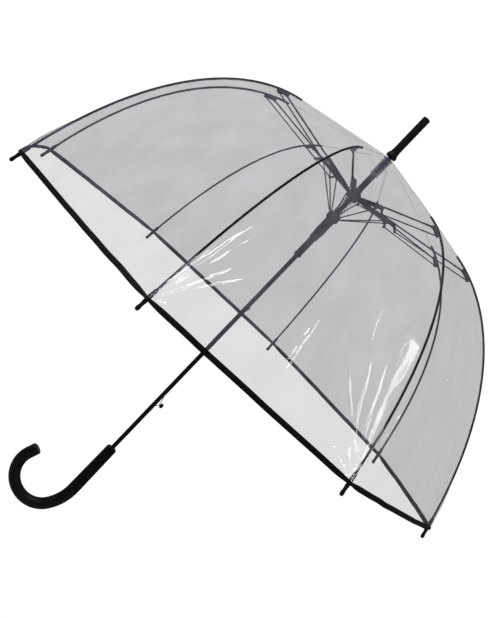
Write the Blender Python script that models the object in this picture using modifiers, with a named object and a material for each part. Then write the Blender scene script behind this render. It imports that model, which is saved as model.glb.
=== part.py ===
"""Clear dome stick umbrella with eight ribs, a sprung runner and a crook handle.

Frame: the shaft lies on +Z with the ferrule at the top, the crook lies in the XZ plane
and opens towards -X, and the origin is the middle of the straight grip. The umbrella is
modelled open. Each arm, link, stretcher and rib has its origin on its own hinge.
"""
import math

import bmesh
import bpy
from mathutils import Matrix, Vector

# ---- driving dimensions, in metres ----
GAP = 0.0003                # clearance between pieces that touch
RIB_COUNT = 8
FIRST_RIB_ANGLE = math.radians(-12.0)

SHAFT_RADIUS = 0.0035
SHAFT_BORE_RADIUS = 0.0029
SHAFT_BOTTOM = -0.045
SHAFT_TOP = 0.745
SLEEVE_BORE = SHAFT_RADIUS + GAP

RIM_Z = 0.310               # height of the open rim above the grip
RIM_RADIUS = 0.420
RIB_TOP = (0.176, 0.627)    # free upper end of a rib: radius, height
RIB_TOP_SLOPE = math.radians(-12.8)
RIB_END_SLOPE = math.radians(-76.0)
RIB_TOP_PULL = 0.115        # handle lengths of the rib's one Bezier span
RIB_END_PULL = 0.180
RIB_RADIUS = 0.0016
RIB_STEPS = 14

FERRULE_BASE = 0.669
FERRULE_TIP = 0.750
FERRULE_RADIUS = 0.0061
FERRULE_BASE_RADIUS = 0.0088
CAP_BOTTOM = 0.633
NECK_RADIUS = 0.00485

CROWN_TOP = 0.598
CROWN_BOTTOM = 0.582
CROWN_RADIUS = 0.0102
CROWN_PIVOT = (0.0085, 0.589)
RING_WIRE_RADIUS = 0.0006
EYE_HOLE_RADIUS = 0.00105
SLOT_WIDTH = 0.0024
SLOT_INNER_RADIUS = 0.0060

RUNNER_PIVOT = (0.0090, 0.546)
RUNNER_TOP = 0.5515
FLANGE_BOTTOM = 0.5405
FLANGE_RADIUS = 0.0107
RUNNER_BODY_RADIUS = 0.0077
RUNNER_BODY_BOTTOM = 0.500
SLEEVE_RADIUS = 0.0054
SLEEVE_BOTTOM = 0.464

SPRING_RADIUS = 0.0068
SPRING_WIRE_RADIUS = 0.0006
SPRING_TURNS = 8
SPRING_STEPS = 10           # points in one turn

ARM_CHANNEL = (0.014, 0.070)        # start and end along the arm
ARM_CHANNEL_HALF_WIDTHS = (0.0022, 0.0034)
ARM_CHANNEL_HALF_HEIGHT = 0.0023
SHEET_STEEL = 0.0008
ARM_WIRE_RADIUS = 0.0013
ARM_WIRE_START = 0.067
ARM_WIRE_START_SIDE = -0.0012
KNEE = (0.064, -0.0008)             # stretcher pin in the arm's channel
LINK_END = (0.0745, -0.0080)        # inner end of the link, beside the arm's lug
LUG_SIDE = 0.0016
LUG_THICKNESS = 0.0024
WIRE_SIDE = 0.0032                  # arm wire and link run this far to either side of the rib
TAB_THICKNESS = 0.0014
TAB_RADIUS = 0.0024
PIN_RADIUS = 0.00075
EYE_HOLE_SIDES = 8
WIRE_RADIUS = 0.0010                # stretcher and link wire
STRETCHER_CLEARANCE = 0.0016        # from the runner's flange to the middle of the stretcher's end

HINGE_DEPTH = 0.0046                # hinge pins lie this far inside the rib's centre line
HINGE_AT = 0.0235                   # arm hinge, measured along the rib from its top end
HINGE_SPACING = 0.0156              # link hinge, measured on from the arm hinge

TIP_RADIUS = 0.0029
TIP_BORE_RADIUS = 0.0019
TIP_INSIDE = 0.015          # length of a tip cap inside and outside the rim
TIP_OUTSIDE = 0.018

FILM_THICKNESS = 0.0004
FILM_OFFSET = 0.0026        # film lies this far outside the rib's centre line
FILM_LIFT_START = 0.82      # where along the rib the film starts and ends its rise over the tip cap
FILM_LIFT_END = 0.95
FILM_APEX = (0.0042, 0.6671)
FILM_SHOULDER = (0.0095, 0.6665)
PANEL_FLATNESS = 0.8        # 0 is a round dome, 1 is flat between the ribs
PANEL_STEPS = 4
CONE_STEPS = 3
DOME_STEPS = 9
BAND_THICKNESS = 0.0014
BAND_HALF_WIDTH = 0.0043
BAND_OFFSET = TIP_RADIUS + 0.0005 + BAND_THICKNESS / 2

HANDLE_TOP = 0.049
HANDLE_RADIUS = 0.0094
HANDLE_TOP_RADIUS = 0.0086
CROOK_RADIUS = 0.0425
CROOK_CENTRE = (-0.0495, -0.0631)
CROOK_SWEEP = math.radians(200.0)   # whole turn from the grip to the hook's straight tail
CROOK_STEPS = 17
TAIL_LENGTH = 0.016
LEAD_SWEEP = math.radians(35.0)     # slow first bend below the straight grip
LEAD_STEPS = 5
COLLAR_RADIUS = 0.0063
COLLAR_HEIGHT = 0.0045
COLLAR_LIP = 0.0008

BUTTON_Z = 0.150
BUTTON_X = 0.0100
BUTTON_RADIUS = 0.0034
CATCH_Z = 0.355
TRIGGER_X = 0.0019
TRIGGER_RADIUS = 0.0006

COLLECTION_NAME = "stick_umbrella"


# ---- scene helpers ----
def clear_scene():
    """Remove every object, so that the script can be run again in the same file."""
    for obj in list(bpy.data.objects):
        bpy.data.objects.remove(obj, do_unlink=True)


def make_collection(name):
    """A new collection in the scene."""
    collection = bpy.data.collections.new(name)
    bpy.context.scene.collection.children.link(collection)
    return collection


def make_material(name, colour, roughness, metallic=0.0, transmission=0.0):
    """A Principled material in one colour."""
    material = bpy.data.materials.new(name)
    material.use_nodes = True
    shader = material.node_tree.nodes["Principled BSDF"]
    shader.inputs["Base Color"].default_value = (*colour, 1.0)
    shader.inputs["Roughness"].default_value = roughness
    shader.inputs["Metallic"].default_value = metallic
    shader.inputs["Transmission Weight"].default_value = transmission
    return material


def place(name, mesh, material, matrix=None, smooth_angle=40.0):
    """Put a finished mesh in the umbrella's collection as one named piece."""
    obj = bpy.data.objects.new(name, mesh)
    parts_collection.objects.link(obj)
    mesh.materials.clear()
    mesh.materials.append(material)
    mesh.shade_smooth()
    mesh.set_sharp_from_angle(angle=math.radians(smooth_angle))
    if matrix is not None:
        obj.matrix_world = matrix
    return obj


def scratch(data, name="scratch"):
    """A working object in the cutters' collection."""
    obj = bpy.data.objects.new(name, data)
    cutters_collection.objects.link(obj)
    obj.hide_render = True
    obj.display_type = "WIRE"
    return obj


def bake(obj, name):
    """The working object's evaluated shape as a welded mesh. The object is removed."""
    bpy.context.view_layer.update()
    graph = bpy.context.evaluated_depsgraph_get()
    mesh = bpy.data.meshes.new_from_object(obj.evaluated_get(graph))
    mesh.name = name
    mesh.transform(obj.matrix_world)
    work = bmesh.new()
    work.from_mesh(mesh)
    bmesh.ops.remove_doubles(work, verts=work.verts, dist=0.000005)
    bmesh.ops.recalc_face_normals(work, faces=work.faces)
    work.to_mesh(mesh)
    work.free()
    bpy.data.objects.remove(obj, do_unlink=True)
    return mesh


def combine(name, base, others, operation="UNION"):
    """Join meshes to the base mesh, or cut them from it, with exact Booleans."""
    body = scratch(base)
    tools = [scratch(mesh) for mesh in others]
    for tool in tools:
        modifier = body.modifiers.new("boolean", "BOOLEAN")
        modifier.operation = operation
        modifier.solver = "EXACT"
        modifier.object = tool
    mesh = bake(body, name)
    for tool in tools:
        bpy.data.objects.remove(tool, do_unlink=True)
    return mesh


# ---- shapes ----
def turned(name, profile, steps=24):
    """A closed outline of (radius, height) points turned about Z."""
    work = bmesh.new()
    points = [work.verts.new((radius, 0.0, height)) for radius, height in profile]
    for first, second in zip(points, points[1:]):
        work.edges.new((first, second))
    if profile[0][0] > 0.0:
        work.edges.new((points[-1], points[0]))
    mesh = bpy.data.meshes.new(name)
    work.to_mesh(mesh)
    work.free()
    obj = scratch(mesh)
    screw = obj.modifiers.new("turn", "SCREW")
    screw.steps = steps
    screw.render_steps = steps
    screw.use_merge_vertices = True
    screw.merge_threshold = 0.00001
    return bake(obj, name)


def tube(name, points, radius, sides=1, factors=None, closed=False):
    """A round wire through the points, with filled ends."""
    curve = bpy.data.curves.new(name, "CURVE")
    curve.dimensions = "3D"
    curve.bevel_depth = radius
    curve.bevel_resolution = sides
    curve.use_fill_caps = not closed
    spline = curve.splines.new("POLY")
    spline.points.add(len(points) - 1)
    spline.use_cyclic_u = closed
    for index, point in enumerate(points):
        spline.points[index].co = (*point, 1.0)
        spline.points[index].radius = factors[index] if factors else 1.0
    return bake(scratch(curve), name)


def circle(radius, steps=12, centre=(0.0, 0.0), start=0.0, sweep=math.tau):
    """Points on a circle, or along an arc of it when the sweep is less than a turn."""
    count = steps if sweep == math.tau else steps + 1
    angles = [start + sweep * index / steps for index in range(count)]
    return [(centre[0] + radius * math.cos(a), centre[1] + radius * math.sin(a)) for a in angles]


def plate(name, outline, holes, thickness, side=0.0):
    """A flat plate in the XZ plane, its middle to the side by the given Y."""
    curve = bpy.data.curves.new(name, "CURVE")
    curve.dimensions = "2D"
    curve.fill_mode = "BOTH"
    curve.extrude = thickness / 2
    for loop in (outline, *holes):
        spline = curve.splines.new("POLY")
        spline.points.add(len(loop) - 1)
        spline.use_cyclic_u = True
        for index, (x, y) in enumerate(loop):
            spline.points[index].co = (x, y, 0.0, 1.0)
    obj = scratch(curve)
    obj.matrix_world = Matrix.Translation((0.0, side, 0.0)) @ Matrix.Rotation(math.pi / 2, 4, "X")
    return bake(obj, name)


def rod(name, radius, length, centre, axis="Y", sides=8):
    """A plain cylinder along one axis."""
    work = bmesh.new()
    bmesh.ops.create_cone(work, cap_ends=True, segments=sides, radius1=radius, radius2=radius,
                          depth=length)
    mesh = bpy.data.meshes.new(name)
    work.to_mesh(mesh)
    work.free()
    turn = {"X": Matrix.Rotation(math.pi / 2, 4, "Y"), "Y": Matrix.Rotation(math.pi / 2, 4, "X"),
            "Z": Matrix.Identity(4)}[axis]
    mesh.transform(Matrix.Translation(centre) @ turn)
    return mesh


def block(name, size, centre, turn=None):
    """A box, turned about Z when an angle is given."""
    work = bmesh.new()
    bmesh.ops.create_cube(work, size=1.0)
    mesh = bpy.data.meshes.new(name)
    work.to_mesh(mesh)
    work.free()
    mesh.transform(Matrix.Translation(centre) @ Matrix.Diagonal((*size, 1.0)))
    if turn is not None:
        mesh.transform(Matrix.Rotation(turn, 4, "Z"))
    return mesh


def ring_wire(name, radius, wire_radius, z):
    """A closed ring of wire about the shaft."""
    points = [(x, y, z) for x, y in circle(radius, 24)]
    return tube(name, points, wire_radius, closed=True)


def surface(name, rows, thickness):
    """A closed belt of faces through rows of points about Z, thickened about its middle."""
    work = bmesh.new()
    grid = [[work.verts.new(point) for point in row] for row in rows]
    for upper, lower in zip(grid, grid[1:]):
        for index in range(len(upper)):
            after = (index + 1) % len(upper)
            work.faces.new((upper[index], lower[index], lower[after], upper[after]))
    mesh = bpy.data.meshes.new(name)
    work.to_mesh(mesh)
    work.free()
    obj = scratch(mesh)
    solidify = obj.modifiers.new("thickness", "SOLIDIFY")
    solidify.thickness = thickness
    solidify.offset = 0.0
    solidify.use_even_offset = True
    return bake(obj, name)


# ---- the frame's geometry, in the plane of one rib (radius, height) ----
def rib_curve(t):
    """Point and unit direction on the rib's centre line, t = 0 at its top, 1 at the rim."""
    start = Vector(RIB_TOP)
    end = Vector((RIM_RADIUS, RIM_Z))
    start_pull = start + RIB_TOP_PULL * Vector((math.cos(RIB_TOP_SLOPE), math.sin(RIB_TOP_SLOPE)))
    end_pull = end - RIB_END_PULL * Vector((math.cos(RIB_END_SLOPE), math.sin(RIB_END_SLOPE)))
    s = 1.0 - t
    point = s**3 * start + 3 * s * s * t * start_pull + 3 * s * t * t * end_pull + t**3 * end
    slope = s * s * (start_pull - start) + 2 * s * t * (end_pull - start_pull) + t * t * (end - end_pull)
    return point, slope.normalized()


def outward(direction):
    """The unit normal that points out of the dome."""
    return Vector((-direction.y, direction.x))


def rib_at_length(distance):
    """Point and direction on the rib at a distance along it from its top end."""
    steps = 400
    travelled = 0.0
    last, slope = rib_curve(0.0)
    for index in range(1, steps + 1):
        point, slope = rib_curve(index / steps)
        travelled += (point - last).length
        last = point
        if travelled >= distance:
            break
    return last, slope


def hinge_on_rib(distance):
    """A hinge pin's place, inside the rib."""
    point, slope = rib_at_length(distance)
    return point - HINGE_DEPTH * outward(slope)


ARM_HINGE = hinge_on_rib(HINGE_AT)
LINK_HINGE = hinge_on_rib(HINGE_AT + HINGE_SPACING)
ARM_VECTOR = ARM_HINGE - Vector(CROWN_PIVOT)
ARM_LENGTH = ARM_VECTOR.length
ARM_TILT = math.atan2(ARM_VECTOR.y, ARM_VECTOR.x)


def from_arm(along, across):
    """A point given along and across the arm, as radius and height."""
    c = math.cos(ARM_TILT)
    s = math.sin(ARM_TILT)
    return Vector(CROWN_PIVOT) + Vector((along * c - across * s, along * s + across * c))


KNEE_POINT = from_arm(*KNEE)
LINK_END_POINT = from_arm(*LINK_END)
STRETCHER_LINE = Vector(RUNNER_PIVOT) - KNEE_POINT
STRETCHER_REACH = (FLANGE_RADIUS + STRETCHER_CLEARANCE - KNEE_POINT.x) / STRETCHER_LINE.x
STRETCHER_END = KNEE_POINT + STRETCHER_REACH * STRETCHER_LINE


def around_ribs():
    """Number and turn about Z of each rib."""
    for index in range(RIB_COUNT):
        yield index + 1, FIRST_RIB_ANGLE - index * math.tau / RIB_COUNT


def at_hinge(turn, hinge):
    """Placement of a piece whose origin is the given hinge in the plane of one rib."""
    return Matrix.Rotation(turn, 4, "Z") @ Matrix.Translation((hinge[0], 0.0, hinge[1]))


def film_meridian():
    """Rows of (radius, height) from the film's centre to the rim band."""
    cone_end, slope = rib_curve(0.0)
    cone_end = cone_end + FILM_OFFSET * outward(slope)
    shoulder = Vector(FILM_SHOULDER)
    rows = [Vector(FILM_APEX)]
    rows += [shoulder.lerp(cone_end, index / CONE_STEPS) for index in range(CONE_STEPS)]
    end = 1.0 - (BAND_HALF_WIDTH + GAP) / (3 * RIB_END_PULL)
    for index in range(DOME_STEPS + 1):
        t = end * index / DOME_STEPS
        point, slope = rib_curve(t)
        over_tip = min(max((t - FILM_LIFT_START) / (FILM_LIFT_END - FILM_LIFT_START), 0.0), 1.0)
        offset = FILM_OFFSET + (BAND_OFFSET - FILM_OFFSET) * over_tip
        rows.append(point + offset * outward(slope))
    return rows


def panel_row(radius, height, steps=PANEL_STEPS):
    """Points about Z at one height, drawn in between the ribs as stretched film is."""
    half = math.pi / RIB_COUNT
    row = []
    for _, turn in around_ribs():
        for index in range(steps):
            from_rib = 2 * half * index / steps
            nearest = min(from_rib, 2 * half - from_rib)
            chord = math.cos(half) / math.cos(half - nearest)
            reach = radius * (1.0 - PANEL_FLATNESS * (1.0 - chord))
            angle = turn - from_rib
            row.append((reach * math.cos(angle), reach * math.sin(angle), height))
    row.reverse()
    return row


# ---- fixed pieces on the shaft ----
def make_shaft():
    """Steel tube with two slots on +X, for the release blade and for the closed catch."""
    tube_wall = turned("shaft", [(SHAFT_RADIUS, SHAFT_TOP), (SHAFT_RADIUS, SHAFT_BOTTOM),
                                 (SHAFT_BORE_RADIUS, SHAFT_BOTTOM), (SHAFT_BORE_RADIUS, SHAFT_TOP)],
                       24)
    slot_depth = 2 * SHAFT_RADIUS
    release_slot = block("release_slot", (slot_depth, 0.0020, 0.0290),
                         (SHAFT_RADIUS, 0.0, BUTTON_Z + 0.0035))
    catch_slot = block("catch_slot", (slot_depth, 0.0020, 0.0130), (SHAFT_RADIUS, 0.0, CATCH_Z - 0.004))
    mesh = combine("shaft", tube_wall, [release_slot, catch_slot], "DIFFERENCE")
    place("shaft", mesh, steel_dark)


def make_ferrule():
    """Long black cap on the shaft's top, flared where it clamps the film."""
    bore_top = SHAFT_TOP + GAP
    profile = [(0.0, FERRULE_TIP), (0.0047, FERRULE_TIP), (FERRULE_RADIUS, FERRULE_TIP - 0.0014),
               (FERRULE_RADIUS, 0.684), (0.0064, 0.678), (FERRULE_BASE_RADIUS, 0.6725),
               (FERRULE_BASE_RADIUS, FERRULE_BASE), (SLEEVE_BORE, FERRULE_BASE),
               (SLEEVE_BORE, bore_top), (0.0, bore_top)]
    place("ferrule", turned("ferrule", profile), black_gloss)


def make_cap_washer():
    """Clear ribbed sleeve under the film, which the ferrule clamps the film against."""
    top = FERRULE_BASE - 0.0035
    profile = [(0.0078, top)]
    ring_count = 6
    pitch = (top - CAP_BOTTOM) / (ring_count + 1)
    for index in range(ring_count):
        z = top - pitch * (index + 1)
        profile += [(0.0078, z + 0.38 * pitch), (0.0060, z + 0.22 * pitch),
                    (0.0060, z - 0.22 * pitch), (0.0074, z - 0.38 * pitch)]
    profile += [(0.0068, CAP_BOTTOM), (SLEEVE_BORE, CAP_BOTTOM), (SLEEVE_BORE, top)]
    place("cap_washer", turned("cap_washer", profile, 16), clear_plastic)


def make_crown_neck():
    """Tube spacer between the cap washer and the crown."""
    top = CAP_BOTTOM - GAP
    bottom = CROWN_TOP + GAP
    profile = [(NECK_RADIUS, top), (NECK_RADIUS, bottom + 0.004), (0.0058, bottom + 0.003),
               (0.0058, bottom), (SLEEVE_BORE, bottom), (SLEEVE_BORE, top)]
    place("crown_neck", turned("crown_neck", profile, 24), black_satin)


def slotted_ring(name, profile, pivot):
    """A turned hub with a radial slot for each hinge and a groove for its ring wire."""
    hub = turned(name, profile)
    slots = [block("slot", (0.010, SLOT_WIDTH, 0.040), (SLOT_INNER_RADIUS + 0.005, 0.0, pivot[1]), turn)
             for _, turn in around_ribs()]
    groove = ring_wire("groove", pivot[0], RING_WIRE_RADIUS + GAP, pivot[1])
    return combine(name, hub, [*slots, groove], "DIFFERENCE")


def make_crown():
    """Top notch: the hub that the eight arms hinge in."""
    profile = [(0.0070, CROWN_TOP), (CROWN_RADIUS, CROWN_TOP - 0.003), (CROWN_RADIUS, CROWN_BOTTOM + 0.002),
               (0.0086, CROWN_BOTTOM), (SLEEVE_BORE, CROWN_BOTTOM), (SLEEVE_BORE, CROWN_TOP)]
    place("crown", slotted_ring("crown", profile, CROWN_PIVOT), black_satin)
    wire = ring_wire("crown_wire", CROWN_PIVOT[0], RING_WIRE_RADIUS, CROWN_PIVOT[1])
    place("crown_wire", wire, steel_bright)


def make_spring():
    """Coil between the crown and the runner, which pulls the runner up."""
    bottom = RUNNER_TOP + GAP + SPRING_WIRE_RADIUS
    top = CROWN_BOTTOM - GAP - SPRING_WIRE_RADIUS
    count = SPRING_TURNS * SPRING_STEPS
    points = []
    for index in range(count + 1):
        angle = math.tau * index / SPRING_STEPS
        height = bottom + (top - bottom) * index / count
        points.append((SPRING_RADIUS * math.cos(angle), SPRING_RADIUS * math.sin(angle), height))
    place("opening_spring", tube("opening_spring", points, SPRING_WIRE_RADIUS), steel_dark)


# ---- the runner ----
def make_runner():
    """Slotted flange and grip body that slide on the shaft, with the narrow lower sleeve."""
    profile = [(0.0080, RUNNER_TOP), (FLANGE_RADIUS, RUNNER_TOP - 0.002), (FLANGE_RADIUS, FLANGE_BOTTOM),
               (RUNNER_BODY_RADIUS, FLANGE_BOTTOM - 0.003), (RUNNER_BODY_RADIUS, 0.512),
               (0.0070, 0.508), (0.0070, RUNNER_BODY_BOTTOM), (SLEEVE_BORE, RUNNER_BODY_BOTTOM),
               (SLEEVE_BORE, RUNNER_TOP)]
    hub = slotted_ring("runner", profile, RUNNER_PIVOT)
    place("runner", hub, black_satin)
    wire = ring_wire("runner_wire", RUNNER_PIVOT[0], RING_WIRE_RADIUS, RUNNER_PIVOT[1])
    place("runner_wire", wire, steel_bright)


def make_runner_sleeve():
    """Narrow sleeve under the runner, ending in a collar that the closed catch holds."""
    top = RUNNER_BODY_BOTTOM - GAP
    profile = [(SLEEVE_RADIUS, top), (SLEEVE_RADIUS, SLEEVE_BOTTOM + 0.005), (0.0063, SLEEVE_BOTTOM + 0.004),
               (0.0063, SLEEVE_BOTTOM + 0.001), (0.0056, SLEEVE_BOTTOM), (SLEEVE_BORE, SLEEVE_BOTTOM),
               (SLEEVE_BORE, top)]
    place("runner_sleeve", turned("runner_sleeve", profile, 24), black_satin)


# ---- the folding frame ----
def make_channel():
    """Folded sheet channel, open below, wider towards the knee."""
    work = bmesh.new()
    height = ARM_CHANNEL_HALF_HEIGHT
    sections = []
    for x, half in zip(ARM_CHANNEL, ARM_CHANNEL_HALF_WIDTHS):
        corners = [(x, -half, -height), (x, -half, height), (x, half, height), (x, half, -height)]
        sections.append([work.verts.new(corner) for corner in corners])
    near, far = sections
    for index in range(3):
        work.faces.new((near[index], near[index + 1], far[index + 1], far[index]))
    mesh = bpy.data.meshes.new("channel")
    work.to_mesh(mesh)
    work.free()
    obj = scratch(mesh)
    solidify = obj.modifiers.new("thickness", "SOLIDIFY")
    solidify.thickness = SHEET_STEEL
    solidify.offset = 0.0
    solidify.use_even_offset = True
    return bake(obj, "channel")


def make_arm_mesh():
    """Crown arm: eye tab, channel with the knee pin and link lug, wire and outer eye."""
    height = ARM_CHANNEL_HALF_HEIGHT
    tab_outline = [*circle(TAB_RADIUS, 5, start=math.radians(75.0), sweep=math.radians(210.0)),
                   (0.020, -0.0015), (0.020, height)]
    tab = plate("tab", tab_outline, [circle(EYE_HOLE_RADIUS, EYE_HOLE_SIDES)], TAB_THICKNESS)
    knee_pin = rod("knee_pin", PIN_RADIUS, 2 * ARM_CHANNEL_HALF_WIDTHS[1], (KNEE[0], 0.0, KNEE[1]))
    wire = tube("wire", [(ARM_WIRE_START, ARM_WIRE_START_SIDE, 0.0015), (0.080, -WIRE_SIDE, 0.0010),
                         (ARM_LENGTH - 0.0015, -WIRE_SIDE, 0.0)], ARM_WIRE_RADIUS)
    eye = plate("eye", circle(TAB_RADIUS, 9, (ARM_LENGTH, 0.0)), [], TAB_THICKNESS, -WIRE_SIDE)
    eye_bore = rod("eye_bore", EYE_HOLE_RADIUS, 0.006, (ARM_LENGTH, -WIRE_SIDE, 0.0), sides=EYE_HOLE_SIDES)
    lug = plate("lug", [(0.0655, height), (0.0695, height), (LINK_END[0] + 0.0018, LINK_END[1] + 0.0010),
                        (LINK_END[0], LINK_END[1] - 0.0018), (0.0655, -0.0015)], [], SHEET_STEEL, LUG_SIDE)
    solid = combine("arm", make_channel(), [tab, knee_pin, wire, eye, lug])
    solid = combine("arm", solid, [eye_bore], "DIFFERENCE")
    solid.transform(Matrix.Rotation(-ARM_TILT, 4, "Y"))
    return solid


def strut_mesh(name, end, side=0.0, far_eye=False):
    """A wire that turns on a bored eye at the origin and runs to the given end in the XZ plane."""
    length = end.length
    near = plate("near", circle(TAB_RADIUS, 9), [circle(EYE_HOLE_RADIUS, EYE_HOLE_SIDES)], TAB_THICKNESS, side)
    pieces = [near]
    if far_eye:
        pieces.append(plate("far", circle(TAB_RADIUS, 9, (length, 0.0)), [], TAB_THICKNESS, side))
    wire = tube("wire", [(TAB_RADIUS - 0.0006, side, 0.0), (length, side, 0.0)], WIRE_RADIUS)
    mesh = combine(name, wire, pieces)
    mesh.transform(Matrix.Rotation(-math.atan2(end.y, end.x), 4, "Y"))
    return mesh


def make_rib_mesh():
    """Spring-steel rib with a lug that carries a hinge pin on each side. Origin on the arm hinge."""
    points = []
    for index in range(RIB_STEPS + 1):
        point, _ = rib_curve(index / RIB_STEPS)
        points.append((point.x, 0.0, point.y))
    wire = tube("rib", points, RIB_RADIUS)
    mouth, slope = rib_at_length(HINGE_AT + HINGE_SPACING / 2)
    normal = outward(slope)
    half = HINGE_SPACING / 2
    corners = [(-half - 0.004, 0.0), (half + 0.004, 0.0), (half + 0.0014, -HINGE_DEPTH - 0.0014),
               (-half - 0.0014, -HINGE_DEPTH - 0.0014)]
    outline = []
    for along, across in corners:
        corner = mouth + along * slope + across * normal
        outline.append((corner.x, corner.y))
    lug = plate("lug", outline, [], LUG_THICKNESS)
    pin_end = WIRE_SIDE + TAB_THICKNESS / 2 + 0.0005
    arm_pin = rod("arm_pin", PIN_RADIUS, pin_end, (ARM_HINGE.x, -pin_end / 2, ARM_HINGE.y))
    link_pin = rod("link_pin", PIN_RADIUS, pin_end, (LINK_HINGE.x, pin_end / 2, LINK_HINGE.y))
    mesh = combine("rib", wire, [lug, arm_pin, link_pin])
    mesh.transform(Matrix.Translation((-ARM_HINGE.x, 0.0, -ARM_HINGE.y)))
    return mesh


def make_tip_mesh():
    """Moulded cap on the rib's end, with the sewn band outside it. Origin on the arm hinge."""
    profile = [(0.0021, TIP_INSIDE), (0.0026, TIP_INSIDE - 0.0012), (TIP_RADIUS, 0.002),
               (TIP_RADIUS, -TIP_OUTSIDE + 0.0016), (0.0018, -TIP_OUTSIDE), (0.0, -TIP_OUTSIDE),
               (0.0, -GAP), (TIP_BORE_RADIUS, -GAP), (TIP_BORE_RADIUS, TIP_INSIDE)]
    mesh = turned("tip", profile, 10)
    end, _ = rib_curve(1.0)
    before_end, _ = rib_curve(1.0 - 1.0 / RIB_STEPS)
    last_run = end - before_end
    lean = math.atan2(last_run.x, -last_run.y)
    mesh.transform(Matrix.Rotation(-lean, 4, "Y"))
    mesh.transform(Matrix.Translation((end.x - ARM_HINGE.x, 0.0, end.y - ARM_HINGE.y)))
    return mesh


def make_frame():
    """The eight arms, links, stretchers, ribs and tips, each on its own hinge."""
    arm_mesh = make_arm_mesh()
    stretcher_mesh = strut_mesh("stretcher", STRETCHER_END - KNEE_POINT)
    link_mesh = strut_mesh("link", LINK_END_POINT - LINK_HINGE, side=WIRE_SIDE, far_eye=True)
    rib_mesh = make_rib_mesh()
    tip_mesh = make_tip_mesh()
    for number, turn in around_ribs():
        place(f"arm_{number}", arm_mesh, steel_dark, at_hinge(turn, CROWN_PIVOT))
        place(f"stretcher_{number}", stretcher_mesh, steel_dark, at_hinge(turn, KNEE_POINT))
        place(f"link_{number}", link_mesh, steel_dark, at_hinge(turn, LINK_HINGE))
        place(f"rib_{number}", rib_mesh, black_satin, at_hinge(turn, ARM_HINGE))
        place(f"tip_{number}", tip_mesh, black_gloss, at_hinge(turn, ARM_HINGE))


# ---- the film and its binding ----
def make_canopy():
    """Clear film dome, open below, with a hole for the shaft at its centre."""
    rows = [panel_row(point.x, point.y) for point in film_meridian()]
    place("canopy", surface("canopy", rows, FILM_THICKNESS), clear_film)


def make_rim_binding():
    """Black band round the film's edge, outside the tip caps."""
    end, slope = rib_curve(1.0)
    middle = end + BAND_OFFSET * outward(slope)
    rows = [middle + across * slope for across in (-BAND_HALF_WIDTH, 0.0, BAND_HALF_WIDTH)]
    mesh = surface("rim_binding", [panel_row(point.x, point.y) for point in rows], BAND_THICKNESS)
    place("rim_binding", mesh, black_satin)


# ---- handle and release ----
def make_handle():
    """Crook handle: a straight grip and a hook, bored for the shaft and its collar."""
    points = []
    factors = []
    straight_steps = 3
    top_factor = HANDLE_TOP_RADIUS / HANDLE_RADIUS
    lead_radius = (-CROOK_CENTRE[0] - CROOK_RADIUS * math.cos(LEAD_SWEEP)) / (1.0 - math.cos(LEAD_SWEEP))
    lead_start = CROOK_CENTRE[1] + (lead_radius - CROOK_RADIUS) * math.sin(LEAD_SWEEP)
    for index in range(straight_steps):
        part = index / straight_steps
        points.append((0.0, 0.0, HANDLE_TOP + (lead_start - HANDLE_TOP) * part))
        factors.append(top_factor + (1.0 - top_factor) * part)
    for index in range(LEAD_STEPS):
        angle = LEAD_SWEEP * index / LEAD_STEPS
        points.append((lead_radius * (math.cos(angle) - 1.0), 0.0, lead_start - lead_radius * math.sin(angle)))
        factors.append(1.0)
    for index in range(CROOK_STEPS + 1):
        angle = LEAD_SWEEP + (CROOK_SWEEP - LEAD_SWEEP) * index / CROOK_STEPS
        points.append((CROOK_CENTRE[0] + CROOK_RADIUS * math.cos(angle), 0.0,
                       CROOK_CENTRE[1] - CROOK_RADIUS * math.sin(angle)))
        factors.append(1.0)
    tail_x, _, tail_z = points[-1]
    points.append((tail_x - TAIL_LENGTH * math.sin(CROOK_SWEEP), 0.0, tail_z - TAIL_LENGTH * math.cos(CROOK_SWEEP)))
    factors.append(1.0)
    solid = scratch(tube("crook", points, HANDLE_RADIUS, sides=4, factors=factors))
    rounding = solid.modifiers.new("round_ends", "BEVEL")
    rounding.width = 0.0018
    rounding.segments = 2
    rounding.limit_method = "ANGLE"
    rounding.angle_limit = math.radians(60.0)
    rounded = bake(solid, "crook")
    bore_bottom = SHAFT_BOTTOM - GAP
    bore = rod("bore", SLEEVE_BORE, 0.2, (0.0, 0.0, bore_bottom + 0.1), "Z", 24)
    recess_bottom = HANDLE_TOP - COLLAR_HEIGHT
    recess = rod("recess", COLLAR_RADIUS + GAP, 0.1, (0.0, 0.0, recess_bottom + 0.05), "Z", 32)
    place("handle", combine("handle", rounded, [bore, recess], "DIFFERENCE"), black_gloss)


def make_handle_collar():
    """Ring that closes the handle's mouth round the shaft."""
    bottom = HANDLE_TOP - COLLAR_HEIGHT + GAP
    top = HANDLE_TOP + COLLAR_LIP
    profile = [(0.0052, top), (COLLAR_RADIUS, top - 0.0008), (COLLAR_RADIUS, bottom), (SLEEVE_BORE, bottom),
               (SLEEVE_BORE, top)]
    place("handle_collar", turned("handle_collar", profile), black_satin)


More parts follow.
